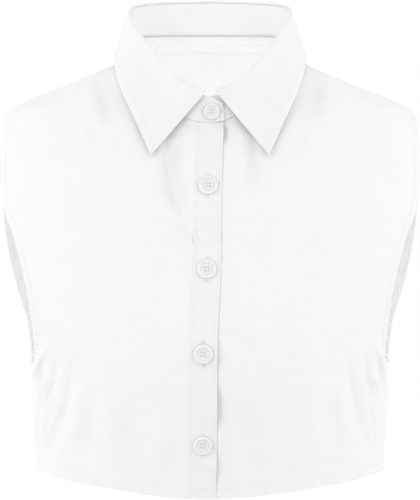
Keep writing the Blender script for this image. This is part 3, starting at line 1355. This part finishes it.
def lay_leaf():
    """The turned-down collar, stitched round its edge."""
    middle = leaf_patch(300, 12, 60)
    normal = grid_normals(middle)
    probe = middle[-1, 150] + normal[-1, 150] * 5.0
    if probe[1] < middle[-1, 150][1]:
        normal = -normal
    down = np.clip((np.arange(73) - 12.0) / 60.0, 0.0, 1.0)[:, None]
    from_end = (np.minimum(np.arange(301), np.arange(301)[::-1]) / 300.0)[None, :]
    settle = smoothstep((down - 0.08) / 0.34) * (1 - 0.4 * smoothstep((down - 0.72) / 0.28))
    settle = 4.8 * settle * (1 - smoothstep(from_end / 0.15))
    middle = middle + settle[..., None] * np.array([0.0, 1.0, 0.0])
    outer = middle + normal * LEAF_WALL / 2
    low_gap, low_run = reach(outer, resample(outer[-1], 1400))
    left_gap, left_run = reach(outer[:], resample(outer[12:, 0], 400))
    right_gap, right_run = reach(outer[:], resample(outer[12:, -1], 400))
    front_gap = np.minimum(left_gap, right_gap)
    edge_gap = np.minimum(low_gap, front_gap)
    edge_run = np.where(low_gap < front_gap, low_run, left_run + 11.0)
    fabric_map = cloth_map(outer)
    x = fabric_map[..., 0]
    y = fabric_map[..., 1]
    rise = turned(edge_gap, edge_run, LEAF_STITCH, 0.22, 0.28)
    rise = rise + unevenness(x, y, 0.35 * smoothstep((y - 4.0) / 10.0))
    points = outer + normal * rise[..., None]
    piece = add_grid("collar_leaf_cloth", points, normal, fabric_map)
    thicken(piece, LEAF_WALL, round_by=0.4)
    fine_normal = smooth_normals(points, normal)
    lines = []
    for gap, edge in ((low_gap, "bottom"), (left_gap, "left"), (right_gap, "right")):
        if edge == "bottom":
            lines.append(line_at(points[::-1], fine_normal[::-1], gap[::-1], LEAF_STITCH, "bottom"))
        else:
            lines.append(line_at(points, fine_normal, gap, LEAF_STITCH, edge))
    sewing = sew("collar_leaf_sewing", trim_leaf(lines, outer))
    return piece, sewing


def resample(path, count):
    """A path of points at even steps."""
    run = np.concatenate(([0.0], np.cumsum(np.linalg.norm(np.diff(path, axis=0), axis=1))))
    at = np.linspace(0.0, run[-1], count)
    return np.stack([np.interp(at, run, path[:, k]) for k in range(3)], axis=1)


def nearest(points, path):
    return np.sqrt(((points[:, None] - path[None]) ** 2).sum(axis=2)).min(axis=1)


def trim_leaf(lines, outer):
    """Keep each line of stitches off the other edges, so that they meet at the points."""
    low = resample(outer[-1], 900)
    left = resample(outer[12:, 0], 300)
    right = resample(outer[12:, -1], 300)
    others = ((left, right), (low,), (low,))
    kept = []
    for (place, up), paths in zip(lines, others):
        clear = np.ones(len(place), bool)
        for path in paths:
            clear &= nearest(place, path) >= LEAF_STITCH - 0.4
        kept.append((place[clear], up[clear]))
    return kept


def lay_tape():
    """The neck tape inside the back neck, puckered by its two rows of stitches."""
    u, z = tape_patch(220, 20)
    down = np.linspace(0.0, TAPE_WIDTH, 21)[:, None]
    run = (u - 2.0) * 130.0
    ends = smoothstep((0.8 - np.abs(u - 2.0)) / 0.05)
    pucker = np.sin(run * 0.36 + 1.8 * np.sin(run * 0.09)) * np.exp(-(((down - 9.5) / 3.4) ** 2))
    long_fold = 0.55 * np.exp(-(((down - 8.0 - 1.2 * np.sin(run * 0.11)) / 1.7) ** 2))
    long_fold = long_fold - 0.5 * np.exp(-(((down - 11.4 - 0.8 * np.sin(run * 0.14 + 1.0)) / 1.2) ** 2))
    rise = 0.28 * pucker + long_fold * ends - 0.25 * np.exp(-(((down - 12.6) / 0.7) ** 2))
    inner = skin(u, z, -TAPE_GAP - 0.1 - rise)
    out = form_normal(form_point(u, z))
    normal = -smooth_normals(inner, out)
    piece = add_grid("neck_tape_cloth", inner, -out, cloth_map(inner))
    thicken(piece, TAPE_WALL, round_by=0.3)
    lines = [line_at(inner, normal, down + 0 * u, 12.6, "bottom"),
             line_at(inner, normal, down + 0 * u, 1.6, "bottom")]
    sewing = sew("neck_tape_sewing", lines)
    return piece, sewing


# Buttons
def seat_of(node):
    """Middle of the underside, outward direction, reach and height of a packed button."""
    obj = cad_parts[node]
    points = np.array([v.co for v in obj.data.vertices]) / MM
    middle = (points.min(axis=0) + points.max(axis=0)) / 2
    normal = np.linalg.svd(points - points.mean(axis=0))[2][2]
    normal = normal * -np.sign(normal[1])
    height = (points - middle) @ normal
    across = np.cross(np.array([0.0, 0.0, 1.0]), normal)
    across = across / np.linalg.norm(across)
    radius_mm = (((points - middle) @ across).max() - ((points - middle) @ across).min()) / 2
    under = middle + normal * height.min()
    return under, across, normal, radius_mm, height.max() - height.min()


def place_in_mesh(piece, under, across, normal, scale=1.0):
    """Turn a piece made round Z onto its seat, in its mesh, and leave its object unturned."""
    up = np.cross(normal, across)
    turn = Matrix((across, up, normal)).transposed().to_4x4() @ Matrix.Scale(scale, 4)
    turn.translation = Vector(under) * MM
    piece.data.transform(turn)
    piece.data.update()


# Section of a button, from the underside over the rim and down into the dish:
# shares of its radius and of its height
BUTTON_SECTION = (
    (0.90, 0.00), (0.975, 0.10), (1.00, 0.28), (0.995, 0.50), (0.96, 0.74), (0.90, 0.91),
    (0.83, 0.99), (0.77, 0.98), (0.72, 0.86), (0.69, 0.70), (0.66, 0.58), (0.60, 0.53), (0.45, 0.51),
)


def make_button(name, node):
    """Four-hole button turned from a blank: raised round rim, dished plain middle."""
    under, across, normal, r, tall = seat_of(node)
    # modelled at a thousand times its size, so that the drilling is exact
    bpy.ops.mesh.primitive_circle_add(vertices=64, radius=r * BUTTON_SECTION[0][0], fill_type="NGON")
    piece = bpy.context.object
    piece.name = name
    bpy.ops.object.mode_set(mode="EDIT")
    bpy.ops.mesh.select_all(action="SELECT")
    bpy.ops.mesh.select_mode(type="FACE")
    for (r0, z0), (r1, z1) in zip(BUTTON_SECTION, BUTTON_SECTION[1:]):
        bpy.ops.mesh.extrude_region_move(TRANSFORM_OT_translate={"value": (0, 0, (z1 - z0) * tall)})
        grow = r1 / r0
        bpy.ops.transform.resize(value=(grow, grow, 1.0), center_override=(0.0, 0.0, 0.0))
    bpy.ops.mesh.select_all(action="SELECT")
    bpy.ops.mesh.normals_make_consistent(inside=False)
    bpy.ops.object.mode_set(mode="OBJECT")
    bpy.ops.mesh.primitive_cylinder_add(vertices=20, radius=0.085 * r, depth=6 * tall)
    drill = bpy.context.object
    bpy.ops.object.mode_set(mode="EDIT")
    bpy.ops.mesh.select_all(action="SELECT")
    bpy.ops.transform.translate(value=(0.17 * r, 0.17 * r, 0.0))
    for move in ((-0.34, 0.0), (0.0, -0.34), (0.34, 0.0)):
        bpy.ops.mesh.duplicate_move(TRANSFORM_OT_translate={"value": (move[0] * r, move[1] * r, 0.0)})
    bpy.ops.object.mode_set(mode="OBJECT")
    holes = piece.modifiers.new("holes", "BOOLEAN")
    holes.operation = "DIFFERENCE"
    holes.solver = "EXACT"
    holes.object = drill
    ease = piece.modifiers.new("ease", "BEVEL")
    ease.width = 0.1
    ease.segments = 2
    ease.limit_method = "ANGLE"
    ease.angle_limit = math.radians(50.0)
    drill.select_set(False)
    piece.select_set(True)
    bpy.context.view_layer.objects.active = piece
    bpy.ops.object.modifier_apply(modifier="holes")
    bpy.ops.object.modifier_apply(modifier="ease")
    bpy.data.objects.remove(drill)
    piece.data.materials.append(BUTTON)
    piece.data.materials.append(BUTTON_DISH)
    for face in piece.data.polygons:
        middle = face.center
        in_dish = math.hypot(middle.x, middle.y) < 0.685 * r and middle.z > 0.4 * tall and face.normal.z > 0.3
        face.material_index = int(in_dish)
    place_in_mesh(piece, under, across, normal, MM)
    bpy.ops.object.shade_smooth_by_angle(angle=math.radians(35.0))
    piece.select_set(False)
    return piece


def make_button_thread(name, node):
    """Two bars of thread through the four holes, three strands each."""
    under, across, normal, r, tall = seat_of(node)
    bpy.ops.mesh.primitive_uv_sphere_add(segments=10, ring_count=14, radius=1.0, rotation=(math.pi / 2, 0, 0))
    strand = bpy.context.object
    bpy.ops.object.transform_apply(rotation=True)
    base = np.array([v.co for v in strand.data.vertices])
    faces = [tuple(p.vertices) for p in strand.data.polygons]
    bpy.data.objects.remove(strand)
    verts = []
    all_faces = []
    for x in (-0.17, 0.17):
        for k, shift in enumerate((-0.24, 0.0, 0.24)):
            points = base * np.array([0.17, 0.26 * r, 0.17])
            bend = (base[:, 1]) ** 2
            points[:, 2] += tall * 0.51 + 0.16 + 0.08 * (k == 1) - 0.7 * bend ** 2
            points[:, 0] += x * r + shift
            all_faces += [tuple(i + len(verts) * len(base) for i in f) for f in faces]
            verts.append(points)
    mesh = bpy.data.meshes.new(name)
    mesh.from_pydata((np.concatenate(verts) * MM).tolist(), [], all_faces)
    mesh.update()
    mesh.shade_smooth()
    piece = bpy.data.objects.new(name, mesh)
    bpy.context.scene.collection.objects.link(piece)
    place_in_mesh(piece, under, across, normal)
    return piece


def make_buttonhole(name, node, length, upright):
    """Buttonhole worked in close thread: two beads along the slit and a bar at each end."""
    under, across, normal, r, tall = seat_of(node)
    half = length / 2
    wide = 0.75
    turns = 240
    t = np.linspace(0.0, 1.0, turns, endpoint=False)
    straight = 2 * half
    lap = 2 * straight + 2 * math.pi * wide
    d = t * lap
    x = np.zeros(turns)
    y = np.zeros(turns)
    for k, run in enumerate(d):
        if run < straight:
            x[k], y[k] = wide, -half + run
        elif run < straight + math.pi * wide:
            a = (run - straight) / wide
            x[k], y[k] = wide * math.cos(a), half + wide * math.sin(a)
        elif run < 2 * straight + math.pi * wide:
            x[k], y[k] = -wide, half - (run - straight - math.pi * wide)
        else:
            a = (run - 2 * straight - math.pi * wide) / wide
            x[k], y[k] = -wide * math.cos(a), -half - wide * math.sin(a)
    line = np.stack((x, y), axis=1)
    ahead = np.roll(line, -1, axis=0) - np.roll(line, 1, axis=0)
    ahead /= np.linalg.norm(ahead, axis=1, keepdims=True)
    side = np.stack((ahead[:, 1], -ahead[:, 0]), axis=1)
    ring = 7
    verts = []
    for k in range(turns):
        thick = 0.38 if k % 2 else 0.31
        for j in range(ring):
            a = 2 * math.pi * j / ring
            off = side[k] * math.cos(a) * thick * 1.45
            verts.append((line[k, 0] + off[0], line[k, 1] + off[1], math.sin(a) * thick - 0.28))
    faces = []
    for k in range(turns):
        n = (k + 1) % turns
        for j in range(ring):
            m = (j + 1) % ring
            faces.append((k * ring + j, k * ring + m, n * ring + m, n * ring + j))
    verts = np.array(verts)
    if not upright:
        verts = verts[:, [1, 0, 2]] * np.array([1.0, -1.0, 1.0])
    mesh = bpy.data.meshes.new(name)
    mesh.from_pydata((verts * MM).tolist(), [], faces)
    mesh.update()
    piece = bpy.data.objects.new(name, mesh)
    bpy.context.scene.collection.objects.link(piece)
    bpy.context.view_layer.objects.active = piece
    piece.select_set(True)
    bpy.ops.object.mode_set(mode="EDIT")
    bpy.ops.mesh.select_all(action="SELECT")
    bpy.ops.mesh.normals_make_consistent(inside=False)
    bpy.ops.object.mode_set(mode="OBJECT")
    piece.select_set(False)
    mesh.shade_smooth()
    place_in_mesh(piece, under, across, normal)
    return piece


# Finishes
def tone(code):
    """sRGB hex to linear colour."""
    parts = [int(code[k:k + 2], 16) / 255 for k in (1, 3, 5)]
    return tuple(c / 12.92 if c <= 0.04045 else ((c + 0.055) / 1.055) ** 2.4 for c in parts) + (1.0,)


def add_node(tree, kind, links=(), settings=(), values=()):
    """Add a node with its settings and values, and link its inputs."""
    node = tree.nodes.new(kind)
    for key, value in settings:
        setattr(node, key, value)
    for key, value in values:
        node.inputs[key].default_value = value
    for key, source in links:
        tree.links.new(source, node.inputs[key])
    return node


def new_finish(name):
    finish = bpy.data.materials.new(name)
    finish.use_nodes = True
    return finish, finish.node_tree, finish.node_tree.nodes["Principled BSDF"]


def cotton_poplin(name, thread_mm, light, dark, strength):
    """White cotton poplin, plain woven and pressed: matt, faintly ribbed across, a soft bloom."""
    finish, tree, shader = new_finish(name)
    where = add_node(tree, "ShaderNodeTexCoord")
    flat = add_node(tree, "ShaderNodeMapping", [("Vector", where.outputs["UV"])])
    pitch = 1.0 / (thread_mm * MM)
    warp = add_node(tree, "ShaderNodeTexWave", [("Vector", flat.outputs["Vector"])],
                    [("wave_type", "BANDS"), ("bands_direction", "X")],
                    [("Scale", pitch / 20 * 2 * math.pi), ("Distortion", 0.6), ("Detail", 1.0), ("Detail Scale", 2.0)])
    weft = add_node(tree, "ShaderNodeTexWave", [("Vector", flat.outputs["Vector"])],
                    [("wave_type", "BANDS"), ("bands_direction", "Y")],
                    [("Scale", pitch / 20 * 2 * math.pi * 0.8), ("Distortion", 0.8), ("Detail", 1.0), ("Detail Scale", 2.0)])
    weave = add_node(tree, "ShaderNodeMath", [(0, warp.outputs["Fac"]), (1, weft.outputs["Fac"])],
                     [("operation", "MULTIPLY")])
    slub_at = add_node(tree, "ShaderNodeMapping", [("Vector", where.outputs["UV"])], (),
                       [("Scale", (90.0, 700.0, 1.0))])
    slub = add_node(tree, "ShaderNodeTexNoise", [("Vector", slub_at.outputs["Vector"])], (),
                    [("Scale", 1.0), ("Detail", 3.0), ("Roughness", 0.6)])
    cloud = add_node(tree, "ShaderNodeTexNoise", [("Vector", where.outputs["Object"])], (),
                     [("Scale", 34.0), ("Detail", 2.0), ("Roughness", 0.5)])
    mix = add_node(tree, "ShaderNodeMath", [(0, slub.outputs["Fac"]), (1, cloud.outputs["Fac"])],
                   [("operation", "MULTIPLY_ADD")], [(2, 0.1)])
    ramp = add_node(tree, "ShaderNodeValToRGB", [("Fac", mix.outputs["Value"])])
    ramp.color_ramp.elements[0].position = 0.05
    ramp.color_ramp.elements[0].color = tone(dark)
    ramp.color_ramp.elements[1].position = 0.75
    ramp.color_ramp.elements[1].color = tone(light)
    height = add_node(tree, "ShaderNodeMath", [(0, weave.outputs["Value"]), (1, slub.outputs["Fac"])],
                      [("operation", "ADD")])
    bump = add_node(tree, "ShaderNodeBump", [("Height", height.outputs["Value"])], (),
                    [("Strength", strength), ("Distance", 0.00008)])
    rough = add_node(tree, "ShaderNodeMapRange", [("Value", slub.outputs["Fac"])], (),
                     [("To Min", 0.78), ("To Max", 0.94)])
    tree.links.new(ramp.outputs["Color"], shader.inputs["Base Color"])
    tree.links.new(rough.outputs["Result"], shader.inputs["Roughness"])
    tree.links.new(bump.outputs["Normal"], shader.inputs["Normal"])
    shader.inputs["IOR"].default_value = 1.45
    shader.inputs["Specular IOR Level"].default_value = 0.22
    shader.inputs["Sheen Weight"].default_value = 0.12
    shader.inputs["Sheen Roughness"].default_value = 0.45
    return finish


def sewing_thread(name):
    """White spun polyester thread: slightly brighter than the cloth, with a fine twist."""
    finish, tree, shader = new_finish(name)
    where = add_node(tree, "ShaderNodeTexCoord")
    twist = add_node(tree, "ShaderNodeTexWave", [("Vector", where.outputs["Object"])],
                     [("wave_type", "BANDS"), ("bands_direction", "DIAGONAL")],
                     [("Scale", 900.0), ("Distortion", 1.0)])
    bump = add_node(tree, "ShaderNodeBump", [("Height", twist.outputs["Fac"])], (),
                    [("Strength", 0.3), ("Distance", 0.00004)])
    ramp = add_node(tree, "ShaderNodeValToRGB", [("Fac", twist.outputs["Fac"])])
    ramp.color_ramp.elements[0].color = tone("#e2e2e2")
    ramp.color_ramp.elements[1].color = tone("#e9e9e9")
    tree.links.new(ramp.outputs["Color"], shader.inputs["Base Color"])
    tree.links.new(bump.outputs["Normal"], shader.inputs["Normal"])
    shader.inputs["Roughness"].default_value = 0.55
    shader.inputs["Sheen Weight"].default_value = 0.1
    return finish


def cast_polyester(name, dark, light, low, high):
    """White cast polyester, turned and tumble polished: a soft gloss and a faint pearl cloud."""
    finish, tree, shader = new_finish(name)
    where = add_node(tree, "ShaderNodeTexCoord")
    cloud = add_node(tree, "ShaderNodeTexNoise", [("Vector", where.outputs["Object"])], (),
                     [("Scale", 260.0), ("Detail", 3.0), ("Distortion", 1.2)])
    ramp = add_node(tree, "ShaderNodeValToRGB", [("Fac", cloud.outputs["Fac"])])
    ramp.color_ramp.elements[0].position = 0.3
    ramp.color_ramp.elements[0].color = tone(dark)
    ramp.color_ramp.elements[1].position = 0.7
    ramp.color_ramp.elements[1].color = tone(light)
    fine = add_node(tree, "ShaderNodeTexNoise", [("Vector", where.outputs["Object"])], (),
                    [("Scale", 1800.0), ("Detail", 2.0)])
    rough = add_node(tree, "ShaderNodeMapRange", [("Value", fine.outputs["Fac"])], (),
                     [("To Min", low), ("To Max", high)])
    bump = add_node(tree, "ShaderNodeBump", [("Height", fine.outputs["Fac"])], (),
                    [("Strength", 0.06), ("Distance", 0.00004)])
    tree.links.new(ramp.outputs["Color"], shader.inputs["Base Color"])
    tree.links.new(rough.outputs["Result"], shader.inputs["Roughness"])
    tree.links.new(bump.outputs["Normal"], shader.inputs["Normal"])
    shader.inputs["IOR"].default_value = 1.54
    return finish


def studio_paper(name):
    """White seamless paper, in shade under the garment and lit to white behind it."""
    finish, tree, shader = new_finish(name)
    where = add_node(tree, "ShaderNodeTexCoord")
    far = add_node(tree, "ShaderNodeVectorMath", [(0, where.outputs["Object"])], [("operation", "LENGTH")])
    ramp = add_node(tree, "ShaderNodeMapRange", [("Value", far.outputs["Value"])],
                    [("interpolation_type", "SMOOTHSTEP")],
                    [("From Min", 0.5), ("From Max", 1.7), ("To Min", 0.8), ("To Max", 1.0)])
    tree.links.new(ramp.outputs["Result"], shader.inputs["Base Color"])
    shader.inputs["Roughness"].default_value = 0.95
    shader.inputs["Specular IOR Level"].default_value = 0.0
    return finish


# Putting it together
POPLIN = cotton_poplin("cotton_poplin_single", 1.1, "#e8e8e8", "#e5e5e5", 0.35)
POPLIN_DOUBLE = cotton_poplin("cotton_poplin_fused", 1.1, "#e6e6e6", "#e3e3e3", 0.3)
THREAD = sewing_thread("spun_polyester_thread")
BUTTON = cast_polyester("cast_polyester_polished", "#e2e2e1", "#e8e8e7", 0.22, 0.36)
BUTTON_DISH = cast_polyester("cast_polyester_dish", "#dcdcdb", "#e1e1e0", 0.42, 0.55)


def dress(piece, finish, slot, *nodes):
    if finish not in list(piece.data.materials):
        piece.data.materials.clear()
        piece.data.materials.append(finish)
    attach(piece, "root")
    if nodes:
        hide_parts(*nodes)


laid = {}
laid["front_right"] = lay_front(-1.0)
laid["front_left"] = lay_front(1.0)
laid["back"] = lay_back()
laid["placket_right"] = lay_band(True)
laid["placket_left"] = lay_band(False)
laid["collar_stand"] = lay_stand()
laid["collar_leaf"] = lay_leaf()
laid["neck_tape"] = lay_tape()
for node, parts in laid.items():
    doubled = node.startswith("collar") or node.startswith("placket")
    dress(parts[0], POPLIN_DOUBLE if doubled else POPLIN, "cloth", node)
    dress(parts[1], THREAD, "cloth")

for k in range(1, 6):
    node = "button_%d" % k
    dress(make_button(node + "_turned", node), BUTTON, "button", node)
    dress(make_button_thread(node + "_thread", node), THREAD, "cloth")
    hole = make_buttonhole(node + "_hole", node, 14.0 if k == 1 else 18.5, k > 1)
    dress(hole, THREAD, "cloth")

# Floor, light and camera
bpy.ops.mesh.primitive_circle_add(vertices=96, radius=14.0, location=(0, 0, -0.72), fill_type="NGON")
floor = bpy.context.object
floor.name = "floor"
floor.data.materials.append(studio_paper("seamless_paper"))

world = bpy.data.worlds.new("studio")
bpy.context.scene.world = world
world.use_nodes = True
backdrop = world.node_tree.nodes["Background"]
backdrop.inputs["Color"].default_value = (1.0, 1.0, 1.0, 1.0)
backdrop.inputs["Strength"].default_value = 1.0

# lamps: name, place, aim, size across and down, power
LAMPS = (
    ("front_softbox", (0.0, -2.4, 0.5), (0.0, 0.0, -0.15), 1.0, 1.0, 1.5),
    ("left_front_softbox", (-1.7, -1.9, 0.8), (0.0, 0.0, -0.15), 0.45, 0.45, 6.0),
    ("right_front_softbox", (1.7, -1.9, 0.8), (0.0, 0.0, -0.15), 0.45, 0.45, 4.5),
    ("left_softbox", (-2.3, 0.1, 0.1), (0.0, 0.0, -0.18), 1.0, 1.4, 6.9),
    ("right_softbox", (2.3, 0.1, 0.1), (0.0, 0.0, -0.18), 1.0, 1.4, 6.9),
    ("neck_lamp", (0.0, -0.035, -0.085), (0.0, 0.075, -0.02), 0.06, 0.03, 0.066),
    ("left_inner_lamp", (-0.06, -0.02, -0.17), (-0.15, 0.05, -0.17), 0.1, 0.14, 0.04),
    ("right_inner_lamp", (0.06, -0.02, -0.17), (0.15, 0.05, -0.17), 0.1, 0.14, 0.04),
)
for name, place, target, across, down, power in LAMPS:
    bpy.ops.object.light_add(type="AREA", location=place)
    lamp = bpy.context.object
    lamp.name = name
    lamp.data.shape = "RECTANGLE"
    lamp.data.size = across
    lamp.data.size_y = down
    lamp.data.energy = power
    lamp.visible_camera = False
    aim = Vector(target) - Vector(place)
    lamp.rotation_euler = aim.to_track_quat("-Z", "Y").to_euler()

bpy.context.scene.view_settings.view_transform = "Standard"

TILT = math.radians(5.0)
DISTANCE = 2.2
AIM_Z = -0.147
bpy.ops.object.camera_add(location=(0.0, -DISTANCE * math.cos(TILT), AIM_Z + DISTANCE * math.sin(TILT)),
                          rotation=(math.pi / 2 - TILT, 0.0, 0.0))
camera = bpy.context.object
camera.data.sensor_width = 36.0
camera.data.lens = 198.0
bpy.context.scene.camera = camera
